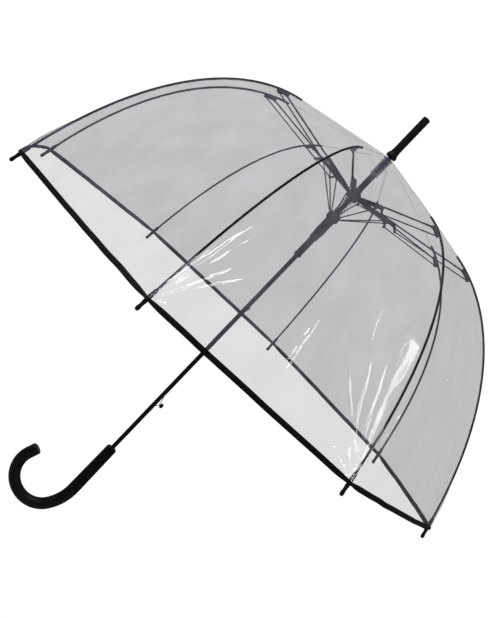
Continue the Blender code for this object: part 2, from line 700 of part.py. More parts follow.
def make_release():
    """Button, bent blade, trigger wire and closed catch, which move together across the shaft."""
    blade_path = [(TRIGGER_X, 0.0, BUTTON_Z + 0.0165), (0.0034, 0.0, BUTTON_Z + 0.0120),
                  (0.0062, 0.0, BUTTON_Z + 0.0030), (0.0062, 0.0, BUTTON_Z - 0.0020),
                  (0.0034, 0.0, BUTTON_Z - 0.0062), (TRIGGER_X, 0.0, BUTTON_Z - 0.0080)]
    place("release_blade", tube("release_blade", blade_path, TRIGGER_RADIUS), steel_dark)
    knob_inner = 0.0062 + TRIGGER_RADIUS + GAP
    knob = turned("release_button", [(0.0, BUTTON_X + 0.0022), (0.0018, BUTTON_X + 0.0020),
                                     (BUTTON_RADIUS, BUTTON_X + 0.0006), (BUTTON_RADIUS, BUTTON_X - 0.0012),
                                     (0.0022, knob_inner), (0.0, knob_inner)], 20)
    knob.transform(Matrix.Translation((0.0, 0.0, BUTTON_Z)) @ Matrix.Rotation(math.pi / 2, 4, "Y"))
    place("release_button", knob, black_gloss)
    wire_bottom = BUTTON_Z + 0.0165 + TRIGGER_RADIUS + 2 * GAP
    wire_top = CATCH_Z - 0.0105
    wire = rod("trigger_wire", TRIGGER_RADIUS, wire_top - wire_bottom,
               (TRIGGER_X, 0.0, (wire_top + wire_bottom) / 2), "Z", 10)
    place("trigger_wire", wire, steel_bright)
    hook = [(0.0012, CATCH_Z - 0.0102), (0.0025, CATCH_Z - 0.0102), (0.0058, CATCH_Z - 0.0002),
            (0.0058, CATCH_Z + 0.0012), (0.0012, CATCH_Z + 0.0012)]
    place("closed_catch", plate("closed_catch", hook, [], 0.0012), steel_bright)


clear_scene()
parts_collection = make_collection(COLLECTION_NAME)
cutters_collection = make_collection("cutters")
black_gloss = make_material("black_gloss_plastic", (0.008, 0.008, 0.010), 0.22)
black_satin = make_material("black_satin", (0.014, 0.015, 0.018), 0.42)
steel_dark = make_material("dark_coated_steel", (0.030, 0.033, 0.040), 0.35, metallic=0.6)
steel_bright = make_material("bright_steel_wire", (0.45, 0.46, 0.48), 0.30, metallic=1.0)
clear_plastic = make_material("clear_moulded_plastic", (0.85, 0.86, 0.88), 0.15, transmission=0.8)
clear_film = make_material("clear_film", (0.80, 0.79, 0.79), 0.12, transmission=0.9)

make_shaft()
make_ferrule()
make_cap_washer()
make_crown_neck()
make_crown()
make_spring()
make_runner()
make_runner_sleeve()
make_frame()
make_canopy()
make_rim_binding()
make_handle()
make_handle_collar()
make_release()
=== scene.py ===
"""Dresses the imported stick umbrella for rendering: film canopy, bound rim, ribs, handle, stage and camera."""
import math

import bmesh
import bpy
import numpy as np
from mathutils import Matrix, Vector


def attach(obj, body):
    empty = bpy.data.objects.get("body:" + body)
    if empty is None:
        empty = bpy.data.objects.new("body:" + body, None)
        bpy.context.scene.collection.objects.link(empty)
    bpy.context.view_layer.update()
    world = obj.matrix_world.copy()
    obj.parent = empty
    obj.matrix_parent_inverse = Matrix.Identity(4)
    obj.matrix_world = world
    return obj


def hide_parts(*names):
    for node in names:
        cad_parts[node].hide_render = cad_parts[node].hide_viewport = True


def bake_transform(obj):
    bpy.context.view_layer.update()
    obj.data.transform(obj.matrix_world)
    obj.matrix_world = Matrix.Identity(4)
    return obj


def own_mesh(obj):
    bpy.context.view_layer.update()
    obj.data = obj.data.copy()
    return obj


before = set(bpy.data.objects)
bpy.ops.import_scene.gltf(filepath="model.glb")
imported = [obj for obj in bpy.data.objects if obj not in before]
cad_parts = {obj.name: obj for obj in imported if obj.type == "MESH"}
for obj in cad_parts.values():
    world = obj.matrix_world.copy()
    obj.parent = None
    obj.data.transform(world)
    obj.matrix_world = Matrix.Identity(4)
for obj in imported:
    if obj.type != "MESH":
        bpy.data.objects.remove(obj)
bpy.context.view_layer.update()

# ---- dimensions shared with the CAD, in metres ----
RIB_COUNT = 8
FIRST_RIB_ANGLE = math.radians(-12.0)
RIM_Z = 0.310
RIM_RADIUS = 0.420
RIB_TOP = (0.176, 0.627)
RIB_TOP_SLOPE = math.radians(-12.8)
RIB_END_SLOPE = math.radians(-76.0)
RIB_TOP_PULL = 0.115
RIB_END_PULL = 0.180
RIB_RADIUS = 0.0016
SHAFT_RADIUS = 0.0035
FERRULE_BASE = 0.669
FERRULE_TIP = 0.750
CROWN_BOTTOM = 0.582
RUNNER_TOP = 0.5515
SPRING_RADIUS = 0.0068
ARM_HINGE_AT = 0.0235       # from a rib's top end, along the rib
BAND_HALF_WIDTH = 0.0037
BAND_OFFSET = 0.0041
PANEL_FLATNESS = 0.8
TIP_RADIUS = 0.0029
TIP_INSIDE = 0.015
TIP_OUTSIDE = 0.018
HANDLE_TOP = 0.049
HANDLE_RADIUS = 0.0094
HANDLE_TOP_RADIUS = 0.0086
CROOK_RADIUS = 0.0425
CROOK_CENTRE = (-0.0495, -0.0631)
CROOK_SWEEP = math.radians(200.0)
TAIL_LENGTH = 0.016
LEAD_SWEEP = math.radians(35.0)
SHAFT_BOTTOM = -0.045
SHAFT_TOP = 0.745
SHAFT_SLOTS = ((0.1405, 0.1680), (0.3435, 0.3575))                 # lower and upper ends, on +X
BUTTON_Z = 0.150
CAP_MOUTH = (0.0042, 0.6671)                                       # where the film starts: radius, height
CAP_SHOULDER = (0.0095, 0.6665)

# ---- dimensions of the dressing ----
HALF_PANEL = math.pi / RIB_COUNT
FILM_REST = 0.0008          # film lies this far outside the rib's centre line
FILM_END = 0.0010           # film stops this far short of the rib's end
FILM_UNDER_BAND = 0.0004    # and lies this far inside the middle of the binding
LIFT_START = 0.82           # share of the rib where the film starts to rise over the tip cap
LIFT_LENGTH = 0.13          # share of the rib that the rise takes
CONE_STEPS = 60
PETAL_RADIUS = 0.045        # the film inside this radius bends between the cap and an arm
WEDGE_CUTS = (0.065, 0.085, 0.105, 0.125, 0.150, 0.175)            # radii between the bands over an arm
WEDGE_KEEPS = (1.0, 0.90, 0.66, 0.49, 0.37, 0.27, 0.20)            # width left to each band when folded
SLACK_HEIGHT = 0.00080      # heights of the film's slack waves, fine folds and tip creases
FOLD_HEIGHT = 0.00022
FAN_HEIGHT = 0.0011
FAN_REACH = 0.06
CREASE_WANDER = 0.0008      # how far a long crease strays from its line
SLACK_SIZE = (0.034, 0.11)  # sizes of the waves and folds: across the panel, and down it
FOLD_SIZE = (0.0105, 0.075)
CALM_AT_RIB = 0.010         # the film lies smooth this close to a rib, to the cap and to the rim
CALM_AT_CAP = 0.03
CALM_AFTER_CAP = 0.05
CALM_AT_RIM = 0.006
NORMAL_STEP = 0.0009        # step over which the film's slope is measured


# ---- materials ----
class Nodes:
    """Short-hand for building one material's node tree."""

    def __init__(self, name):
        self.material = bpy.data.materials.new(name)
        self.material.use_nodes = True
        self.tree = self.material.node_tree
        self.shader = self.tree.nodes["Principled BSDF"]
        self.coords = self.add("ShaderNodeTexCoord").outputs["Object"]

    def add(self, kind, **values):
        node = self.tree.nodes.new(kind)
        for name, value in values.items():
            setattr(node, name, value)
        return node

    def link(self, source, target):
        self.tree.links.new(source, target)

    def set(self, **values):
        for name, value in values.items():
            self.shader.inputs[name.replace("_", " ")].default_value = value

    def noise(self, scale, detail=3.0, stretch=(1.0, 1.0, 1.0), roughness=0.5):
        mapping = self.add("ShaderNodeMapping")
        mapping.inputs["Scale"].default_value = stretch
        self.link(self.coords, mapping.inputs["Vector"])
        node = self.add("ShaderNodeTexNoise")
        node.inputs["Scale"].default_value = scale
        node.inputs["Detail"].default_value = detail
        node.inputs["Roughness"].default_value = roughness
        self.link(mapping.outputs["Vector"], node.inputs["Vector"])
        return node.outputs["Fac"]

    def ramp(self, source, low, high, first, last):
        node = self.add("ShaderNodeValToRGB")
        node.color_ramp.elements[0].position = low
        node.color_ramp.elements[1].position = high
        node.color_ramp.elements[0].color = first
        node.color_ramp.elements[1].color = last
        self.link(source, node.inputs["Fac"])
        return node.outputs["Color"]

    def grey(self, source, low, high, first, last):
        return self.ramp(source, low, high, (first, first, first, 1.0), (last, last, last, 1.0))

    def bump(self, height, distance, strength=1.0, under=None):
        node = self.add("ShaderNodeBump")
        node.inputs["Distance"].default_value = distance
        node.inputs["Strength"].default_value = strength
        self.link(height, node.inputs["Height"])
        if under is not None:
            self.link(under, node.inputs["Normal"])
        return node.outputs["Normal"]

    def finish(self, colour=None, roughness=None, normal=None):
        if colour is not None:
            self.link(colour, self.shader.inputs["Base Color"])
        if roughness is not None:
            self.link(roughness, self.shader.inputs["Roughness"])
        if normal is not None:
            self.link(normal, self.shader.inputs["Normal"])
        return self.material


def film_material(name, alpha, tone):
    """Soft clear film: glossy, faintly milky, with drawn-film streaks and small dimples."""
    n = Nodes(name)
    n.set(Alpha=alpha, IOR=1.52, Specular_IOR_Level=0.75)
    streaks = n.noise(30.0, 8.0, (1.0, 1.0, 0.30), 0.68)
    colour = n.ramp(streaks, 0.34, 0.68, (*[c * 0.45 for c in tone], 1.0), (*[c * 1.75 for c in tone], 1.0))
    roughness = n.grey(n.noise(60.0, 4.0), 0.35, 0.75, 0.045, 0.13)
    waves = n.bump(n.noise(38.0, 3.0, (1.0, 1.0, 0.5)), 0.0012, 0.55)
    dimples = n.bump(n.noise(210.0, 2.0), 0.0002, 0.5, waves)
    return n.finish(colour, roughness, dimples)


def plastic_material(name, dark, light, rough_low, rough_high, grain, grain_height):
    """Moulded plastic with faint mottling, a fine grain and rubbed patches."""
    n = Nodes(name)
    n.set(IOR=1.5)
    colour = n.ramp(n.noise(35.0, 4.0), 0.35, 0.7, (*dark, 1.0), (*light, 1.0))
    roughness = n.grey(n.noise(55.0, 5.0), 0.3, 0.75, rough_low, rough_high)
    swell = n.bump(n.noise(45.0, 2.0), 0.0004, 0.35)
    normal = n.bump(n.noise(grain, 2.0), grain_height, 0.5, swell)
    return n.finish(colour, roughness, normal)


def steel_material(name, dark, light, rough_low, rough_high, metallic, stretch):
    """Drawn or coated steel with fine lines along its length and worn patches."""
    n = Nodes(name)
    n.set(Metallic=metallic, IOR=1.5)
    wear = n.noise(28.0, 6.0, stretch, 0.65)
    colour = n.ramp(wear, 0.42, 0.78, (*dark, 1.0), (*light, 1.0))
    roughness = n.grey(n.noise(90.0, 5.0, stretch), 0.3, 0.7, rough_low, rough_high)
    normal = n.bump(n.noise(300.0, 2.0, stretch), 0.00002, 0.5)
    return n.finish(colour, roughness, normal)


def tape_material(name):
    """Black woven binding tape: fine crossed ribs over soft puckers."""
    n = Nodes(name)
    n.set(Specular_IOR_Level=0.25)
    colour = n.ramp(n.noise(120.0, 4.0), 0.3, 0.75, (0.003, 0.003, 0.0035, 1.0), (0.009, 0.009, 0.011, 1.0))
    roughness = n.grey(n.noise(75.0, 3.0), 0.3, 0.7, 0.42, 0.62)
    weave = n.add("ShaderNodeTexWave", wave_type="BANDS", bands_direction="Z")
    weave.inputs["Scale"].default_value = 420.0
    weave.inputs["Distortion"].default_value = 1.5
    n.link(n.coords, weave.inputs["Vector"])
    threads = n.bump(weave.outputs["Fac"], 0.00015, 0.6)
    normal = n.bump(n.noise(160.0, 3.0), 0.0004, 0.6, threads)
    return n.finish(colour, roughness, normal)


clear_film = film_material("clear_film", 0.33, (0.360, 0.338, 0.415))
film_weld = film_material("film_weld", 0.22, (0.30, 0.29, 0.36))
clear_plastic = film_material("clear_plastic", 0.55, (0.20, 0.22, 0.28))
black_gloss = plastic_material("black_gloss", (0.0020, 0.0020, 0.0026), (0.0050, 0.0050, 0.0064), 0.16, 0.28,
                               700.0, 0.00003)
black_satin = plastic_material("black_satin", (0.010, 0.012, 0.018), (0.022, 0.025, 0.034), 0.34, 0.52, 900.0,
                               0.00009)
dark_steel = steel_material("dark_steel", (0.010, 0.012, 0.018), (0.030, 0.034, 0.046), 0.26, 0.42, 0.35,
                            (1.0, 1.0, 0.2))
frame_steel = steel_material("frame_steel", (0.006, 0.009, 0.019), (0.018, 0.025, 0.045), 0.28, 0.44, 0.3,
                             (1.0, 1.0, 0.3))
rib_steel = steel_material("rib_steel", (0.004, 0.0045, 0.006), (0.012, 0.013, 0.018), 0.20, 0.36, 0.25,
                           (1.0, 1.0, 0.3))
bright_steel = steel_material("bright_steel", (0.20, 0.21, 0.23), (0.42, 0.43, 0.45), 0.22, 0.36, 0.9,
                              (0.5, 0.5, 1.0))
binding_tape = tape_material("binding_tape")


# ---- mesh helpers ----
def new_piece(name, verts, faces, material):
    """A mesh object made of the given points and faces."""
    mesh = bpy.data.meshes.new(name)
    mesh.from_pydata([tuple(v) for v in verts], [], faces)
    mesh.materials.append(material)
    mesh.shade_smooth()
    obj = bpy.data.objects.new(name, mesh)
    bpy.context.scene.collection.objects.link(obj)
    return obj


def grid_faces(rows, columns, closed=False, base=0):
    """Quads of a grid of rows by columns, whose columns may close on themselves."""
    faces = []
    count = columns if closed else columns - 1
    for i in range(rows - 1):
        for j in range(count):
            a = base + i * columns + j
            b = base + i * columns + (j + 1) % columns
            faces.append((a, b, b + columns, a + columns))
    return faces


def tube_points(path, radii, sides):
    """Rings of points round a path in 3-D, one ring for each path point."""
    path = [Vector(p) for p in path]
    rings = []
    across = None
    for index, point in enumerate(path):
        ahead = path[min(index + 1, len(path) - 1)]
        behind = path[max(index - 1, 0)]
        along = (ahead - behind).normalized()
        if across is None:
            across = along.orthogonal().normalized()
        across = (across - across.dot(along) * along).normalized()
        other = along.cross(across)
        for side in range(sides):
            turn = math.tau * side / sides
            rings.append(point + radii[index] * (math.cos(turn) * across + math.sin(turn) * other))
    return rings


def tube_piece(name, path, radii, material, sides=16):
    """A round bar along a path, closed at its ends."""
    verts = tube_points(path, radii, sides)
    faces = grid_faces(len(path), sides, closed=True)
    faces.append(tuple(range(sides - 1, -1, -1)))
    faces.append(tuple(range(len(verts) - sides, len(verts))))
    return new_piece(name, verts, faces, material)


def turned_points(profile, sides, matrix=None):
    """Rings of points about Z through a profile of (radius, height)."""
    verts = []
    for radius, height in profile:
        for side in range(sides):
            turn = math.tau * side / sides
            point = Vector((radius * math.cos(turn), radius * math.sin(turn), height))
            verts.append(matrix @ point if matrix is not None else point)
    return verts


def softened(profile, corner):
    """The profile with each inner corner cut into a small round."""
    soft = [profile[0]]
    for before, here, after in zip(profile, profile[1:], profile[2:]):
        b, h, a = Vector(before), Vector(here), Vector(after)
        cut_in = min(corner, (h - b).length * 0.45)
        cut_out = min(corner, (a - h).length * 0.45)
        start = h + (b - h).normalized() * cut_in
        end = h + (a - h).normalized() * cut_out
        for part in (0.0, 0.33, 0.67, 1.0):
            point = start.lerp(h, part).lerp(h.lerp(end, part), part)
            soft.append((point.x, point.y))
    soft.append(profile[-1])
    return soft


def turned_piece(name, profile, material, sides=48, corner=0.0006, matrix=None):
    """A turned solid with rounded edges; a profile end on the axis closes it."""
    profile = softened(profile, corner)
    verts = turned_points(profile, sides, matrix)
    faces = grid_faces(len(profile), sides, closed=True)
    obj = new_piece(name, verts, faces, material)
    work = bmesh.new()
    work.from_mesh(obj.data)
    bmesh.ops.remove_doubles(work, verts=work.verts, dist=1e-6)
    bmesh.ops.recalc_face_normals(work, faces=work.faces)
    work.to_mesh(obj.data)
    work.free()
    return obj


# ---- the dome's surface ----
def rib_curve(t):
    """Point and unit direction on a rib's centre line in its plane, t = 0 at its top, 1 at the rim."""
    start = Vector(RIB_TOP)
    end = Vector((RIM_RADIUS, RIM_Z))
    start_pull = start + RIB_TOP_PULL * Vector((math.cos(RIB_TOP_SLOPE), math.sin(RIB_TOP_SLOPE)))
    end_pull = end - RIB_END_PULL * Vector((math.cos(RIB_END_SLOPE), math.sin(RIB_END_SLOPE)))
    s = 1.0 - t
    point = s**3 * start + 3 * s * s * t * start_pull + 3 * s * t * t * end_pull + t**3 * end
    slope = s * s * (start_pull - start) + 2 * s * t * (end_pull - start_pull) + t * t * (end - end_pull)
    return point, slope.normalized()


def outward(slope):
    """The unit normal that points out of the dome."""
    return Vector((-slope.y, slope.x))


def meridian(count=600):
    """Film line over a rib: arc lengths, radii and heights from the cap to the rim."""
    top, slope = rib_curve(0.0)
    cone_end = top + FILM_REST * outward(slope)
    shoulder = Vector(CAP_SHOULDER)
    points = [Vector(CAP_MOUTH)]
    points += [shoulder.lerp(cone_end, step / CONE_STEPS) for step in range(CONE_STEPS)]
    end = 1.0 - FILM_END / (3 * RIB_END_PULL)
    for index in range(count + 1):
        t = end * index / count
        point, slope = rib_curve(t)
        lift = min(max((t - LIFT_START) / LIFT_LENGTH, 0.0), 1.0)
        lift = lift * lift * (3.0 - 2.0 * lift)
        rise = (BAND_OFFSET - FILM_UNDER_BAND - FILM_REST) * lift
        points.append(point + (FILM_REST + rise) * outward(slope))
    radii = np.array([p.x for p in points])
    heights = np.array([p.y for p in points])
    lengths = np.concatenate([[0.0], np.cumsum(np.hypot(np.diff(radii), np.diff(heights)))])
    return lengths, radii, heights


LENGTHS, RADII, HEIGHTS = meridian()
RIM_LENGTH = LENGTHS[-1]
RIB_START = LENGTHS[CONE_STEPS + 1]
HINGE_LENGTH = RIB_START + ARM_HINGE_AT
PETAL_LENGTH = float(np.interp(PETAL_RADIUS, RADII, LENGTHS))


def rib_angle(number):
    """Azimuth of a rib, numbered from 1."""
    return FIRST_RIB_ANGLE - (number - 1) * 2 * HALF_PANEL


def lattice(x, seed):
    """Repeatable values between -1 and 1 for whole numbers x."""
    return 2.0 * np.modf(np.abs(np.sin(x * 127.1 + seed * 311.7) * 43758.5453))[0] - 1.0


def smooth_noise(x, seed):
    """Repeatable one-dimensional noise between -1 and 1."""
    cell = np.floor(x)
    part = x - cell
    part = part * part * (3.0 - 2.0 * part)
    return lattice(cell, seed) * (1.0 - part) + lattice(cell + 1.0, seed) * part


def sheet_noise(x, y, seed):
    """Repeatable two-dimensional noise between -1 and 1."""
    row = np.floor(y)
    part = y - row
    part = part * part * (3.0 - 2.0 * part)
    low = smooth_noise(x + 17.3 * row, seed)
    high = smooth_noise(x + 17.3 * (row + 1.0), seed)
    return low * (1.0 - part) + high * part


# Long creases, each with: the panel, counted from 0 after rib 1; where it starts and ends across the panel,
# from 0 to 1; how far from the rim it starts and ends; and its height.
CREASES = [
    (1, 0.030, 0.165, 0.006, 0.175, 0.00110), (1, 0.075, 0.225, 0.020, 0.150, 0.00095),
    (1, 0.020, 0.300, 0.015, 0.115, 0.00100), (1, 0.470, 0.500, 0.030, 0.160, 0.00135),
    (1, 0.985, 0.890, 0.004, 0.160, 0.00120), (1, 0.975, 0.830, 0.006, 0.125, 0.00115),
    (1, 0.980, 0.760, 0.006, 0.120, 0.00105), (1, 0.988, 0.925, 0.004, 0.190, 0.00105),
    (0, 0.860, 0.780, 0.200, 0.300, 0.00045), (0, 0.600, 0.680, 0.140, 0.235, 0.00045),
    (0, 0.960, 0.900, 0.010, 0.110, 0.00060), (0, 0.030, 0.110, 0.010, 0.120, 0.00070),
    (2, 0.020, 0.120, 0.005, 0.130, 0.00070), (2, 0.970, 0.880, 0.010, 0.140, 0.00070),
    (3, 0.030, 0.160, 0.006, 0.120, 0.00065), (3, 0.520, 0.560, 0.060, 0.180, 0.00045),
    (4, 0.025, 0.140, 0.006, 0.150, 0.00070), (4, 0.960, 0.840, 0.008, 0.110, 0.00065),
    (5, 0.030, 0.120, 0.010, 0.135, 0.00065), (5, 0.400, 0.440, 0.080, 0.190, 0.00045),
    (6, 0.970, 0.860, 0.006, 0.130, 0.00070), (6, 0.040, 0.130, 0.008, 0.100, 0.00060),
    (7, 0.030, 0.150, 0.006, 0.160, 0.00070), (7, 0.950, 0.830, 0.010, 0.120, 0.00065),
]
CREASE_WIDTH = 0.0032


def ripples(azimuth, length):
    """How far the film stands off its smooth shape: slack waves, creases from the tips and long folds."""
    place = np.mod(FIRST_RIB_ANGLE - azimuth, 2 * HALF_PANEL)
    panel = np.floor(np.mod(FIRST_RIB_ANGLE - azimuth, math.tau) / (2 * HALF_PANEL) + 1e-9)
    radius = np.interp(length, LENGTHS, RADII)
    side = np.minimum(place, 2 * HALF_PANEL - place)
    free = np.clip(side * radius / CALM_AT_RIB, 0.0, 1.0)
    free = free * free * (3.0 - 2.0 * free)
    cap = np.clip((length - CALM_AT_CAP) / CALM_AFTER_CAP, 0.0, 1.0)
    rim = np.clip((RIM_LENGTH - length) / CALM_AT_RIM, 0.0, 1.0)
    across = place * radius
    down = np.maximum(RIM_LENGTH - length, 0.0)
    slack = SLACK_HEIGHT * sheet_noise(across / SLACK_SIZE[0] + 40 * panel, length / SLACK_SIZE[1], 3.0)
    folds = FOLD_HEIGHT * sheet_noise(across / FOLD_SIZE[0] + 90 * panel, length / FOLD_SIZE[1], 7.0)
    total = (slack + folds) * free * cap
    for edge, start in ((place, 11.0), (2 * HALF_PANEL - place, 23.0)):
        out = edge * radius
        far = np.hypot(out, down)
        fan = np.arctan2(out, down + 1e-6)
        reach = np.exp(-far / FAN_REACH) * np.clip(far / 0.012, 0.0, 1.0)
        broad = smooth_noise(fan * 9.0 + 5.0 * panel, start)
        fine = smooth_noise(fan * 21.0 + panel, start + 4)
        total = total + FAN_HEIGHT * reach * (broad * 0.7 + fine * 0.3) * free
    for where, start, end, low, high, height in CREASES:
        share = (down - low) / (high - low)
        middle = (start + (end - start) * share) * 2 * HALF_PANEL
        wander = CREASE_WANDER * smooth_noise(down / 0.021 + 7.0 * where, 60.0 * start + high * 90.0)
        off = (place - middle) * radius + wander
        taper = np.clip(share / 0.12, 0.0, 1.0) * np.clip((1.0 - share) / 0.45, 0.0, 1.0)
        broken = 0.80 + 0.20 * smooth_noise(down / 0.012 + 3.0 * where, 80.0 * end + low * 70.0)
        ridge = height * np.exp(-((off / CREASE_WIDTH) ** 2))
        total = total + ridge * taper * broken * (panel == where)
    return total * rim


def drawn_in(side):
    """Share of the radius left to stretched film at an angle to the side of the nearest rib."""
    chord = math.cos(HALF_PANEL) / np.cos(HALF_PANEL - side)
    return 1.0 - PANEL_FLATNESS * (1.0 - chord)


def film_points(azimuth, length, lift=0.0, wrinkled=True):
    """Points of the film at azimuths and lengths down from the cap."""
    radius = np.interp(length, LENGTHS, RADII)
    height = np.interp(length, LENGTHS, HEIGHTS)
    step = 0.002
    rise = np.interp(length + step, LENGTHS, HEIGHTS) - np.interp(length - step, LENGTHS, HEIGHTS)
    run = np.interp(length + step, LENGTHS, RADII) - np.interp(length - step, LENGTHS, RADII)
    size = np.hypot(rise, run)
    place = np.mod(FIRST_RIB_ANGLE - azimuth, 2 * HALF_PANEL)
    side = np.minimum(place, 2 * HALF_PANEL - place)
    reach = radius * drawn_in(side)
    away = lift + (ripples(azimuth, length) if wrinkled else 0.0)
    reach = reach - away * rise / size
    height = height + away * run / size
    return np.stack([reach * np.cos(azimuth), reach * np.sin(azimuth), height], -1)


def film_normals(azimuth, length):
    """Unit normals of the wrinkled film, worked out so that they match where two pieces meet."""
    turn = NORMAL_STEP / np.maximum(np.interp(length, LENGTHS, RADII), 0.01)
    below = film_points(azimuth, np.minimum(length + NORMAL_STEP, RIM_LENGTH))
    along = below - film_points(azimuth, length - NORMAL_STEP)
    across = film_points(azimuth + turn, length) - film_points(azimuth - turn, length)
    normal = np.cross(along, across)
    normal = normal / np.linalg.norm(normal, axis=-1, keepdims=True)
    outside = np.stack([np.cos(azimuth), np.sin(azimuth), np.ones_like(azimuth)], -1)
    flip = np.sign(np.sum(normal * outside, -1, keepdims=True))
    return normal * flip


def film_piece(name, start_angle, end_angle, start, end, columns, rows):
    """Part of the film between two azimuths and two lengths, with its flat width and height, and its area."""
    angles = np.linspace(max(start_angle, end_angle), min(start_angle, end_angle), columns)
    lengths = np.linspace(start, end, rows)
    azimuth, length = np.meshgrid(angles, lengths)
    points = film_points(azimuth, length)
    obj = new_piece(name, points.reshape(-1, 3), grid_faces(rows, columns), clear_film)
    obj.data.update()
    obj.data.normals_split_custom_set_from_vertices(
        [tuple(n) for n in film_normals(azimuth, length).reshape(-1, 3)])
    smooth = film_points(azimuth, length, wrinkled=False)
    widths = np.linalg.norm(np.diff(smooth, axis=1), axis=2).sum(axis=1)
    tall = np.linalg.norm(np.diff(smooth, axis=0), axis=2).sum(axis=0).max()
    area = float(np.sum((widths[1:] + widths[:-1]) * np.diff(lengths)) / 2)
    return obj, (float(widths.max()), float(tall)), area


def in_rib_plane(number, radius, height):
    """A point of a rib's own plane, in the row frame."""
    angle = rib_angle(number)
    return Vector((radius * math.cos(angle), radius * math.sin(angle), height))


# ---- canopy ----
def gather(obj, number):
    """Ties a piece to its rib, with a mesh of its own."""
    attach(obj, f"rib_{number}")
    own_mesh(obj)


def make_film():
    """The film over each rib: a petal at the cap, bands over the arm and two half gores down to the rim."""
    cuts = [float(np.interp(cut, RADII, LENGTHS)) for cut in WEDGE_CUTS]
    ends = [PETAL_LENGTH, *cuts, HINGE_LENGTH]
    for number in range(1, RIB_COUNT + 1):
        angle = rib_angle(number)
        right = angle - HALF_PANEL
        left = angle + HALF_PANEL
        petal, flat, area = film_piece(f"film_petal_{number}", right, left, LENGTHS[0], PETAL_LENGTH,
                                       columns=17, rows=14)
        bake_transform(petal)
        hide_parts("canopy")
        for band, (start, end, keep) in enumerate(zip(ends, ends[1:], WEDGE_KEEPS), 1):
            wedge, flat, area = film_piece(f"film_wedge_{number}_{band}", right, left, start, end,
                                           columns=61, rows=10)
            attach(wedge, f"arm_{number}")
            if keep < 1.0:
                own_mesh(wedge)
            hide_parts("canopy")
        for side, word in ((1.0, "left"), (-1.0, "right")):
            gore, flat, area = film_piece(f"film_{word}_{number}", angle, angle + side * HALF_PANEL,
                                          HINGE_LENGTH, RIM_LENGTH, columns=90, rows=170)
            gather(gore, number)
            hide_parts("canopy")


def make_welds():
    """The doubled strip of film where two panels are welded, over each arm."""
    half_width = 0.0023
    lift = 0.0003
    rows = 50
    columns = 5
    for number in range(1, RIB_COUNT + 1):
        angle = rib_angle(number)
        points = []
        for length in np.linspace(PETAL_LENGTH, HINGE_LENGTH - 0.004, rows):
            reach = half_width / float(np.interp(length, LENGTHS, RADII))
            azimuth = np.linspace(angle - reach, angle + reach, columns)
            points.append(film_points(azimuth, np.full(columns, length), lift))
        strip = new_piece(f"weld_{number}", np.concatenate(points), grid_faces(rows, columns), film_weld)
        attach(strip, f"arm_{number}")


def make_binding():
    """Gathered tape folded over the film's edge, in two lengths for each rib."""
    end, slope = rib_curve(1.0)
    normal = outward(slope)
    loop = []
    loop_steps = 20
    rows = 90
    half_thickness = 0.0007
    pucker_height = 0.00028
    wave_height = 0.0004
    for step in range(loop_steps):
        turn = math.tau * step / loop_steps
        flat = math.copysign(abs(math.cos(turn)) ** 0.45, math.cos(turn))
        loop.append((flat, math.sin(turn)))
    for number in range(1, RIB_COUNT + 1):
        angle = rib_angle(number)
        for side, word in ((1.0, "left"), (-1.0, "right")):
            verts = []
            for row in range(rows):
                share = row / (rows - 1)
                azimuth = angle + side * HALF_PANEL * share
                away = share * HALF_PANEL * RIM_RADIUS
                narrowing = 1.0 - 0.38 * math.exp(-((away / 0.013) ** 2))
                pucker = float(smooth_noise(np.array(away / 0.0035), 5.0 + number + side))
                pucker *= (0.35 + 0.65 * math.exp(-away / 0.05)) * min(1.0, (1 - share) / 0.05)
                wave = float(smooth_noise(np.array(away / 0.028), 9.0 + number - side))
                wave *= min(1.0, (1 - share) / 0.15)
                for across, thick in loop:
                    lift = BAND_OFFSET + half_thickness * thick + pucker_height * pucker * abs(thick)
                    shift = across * BAND_HALF_WIDTH * narrowing + wave_height * wave
                    local = end + normal * lift + slope * shift
                    reach = local.x * drawn_in(share * HALF_PANEL)
                    verts.append((reach * math.cos(azimuth), reach * math.sin(azimuth), local.y))
            faces = grid_faces(rows, len(loop), closed=True)
            band = new_piece(f"binding_{word}_{number}", verts, faces, binding_tape)
            gather(band, number)
            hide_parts("rim_binding")


def make_stitches():
    """A row of thread stitches round the binding, standing just proud of the tape."""
    end, slope = rib_curve(1.0)
    normal = outward(slope)
    count = 34
    rings = 4
    sides = 6
    thread = 0.00018
    above_band = 0.00060
    from_middle = -0.0028
    for number in range(1, RIB_COUNT + 1):
        angle = rib_angle(number)
        for side, word in ((1.0, "left"), (-1.0, "right")):
            verts = []
            faces = []
            for index in range(count):
                for ring in range(rings):
                    part = ring / (rings - 1)
                    share = (index + 0.22 + 0.56 * part) / count
                    azimuth = angle + side * HALF_PANEL * share
                    swell = thread * math.sin(math.pi * (0.12 + 0.76 * part))
                    for spot in range(sides):
                        turn = math.tau * spot / sides
                        local = end + normal * (BAND_OFFSET + above_band + swell * (0.4 + math.sin(turn)))
                        local = local + slope * (from_middle + swell * math.cos(turn))
                        reach = local.x * drawn_in(share * HALF_PANEL)
                        verts.append((reach * math.cos(azimuth), reach * math.sin(azimuth), local.y))
                faces += grid_faces(rings, sides, closed=True, base=index * rings * sides)
            row = new_piece(f"stitches_{word}_{number}", verts, faces, binding_tape)
            gather(row, number)


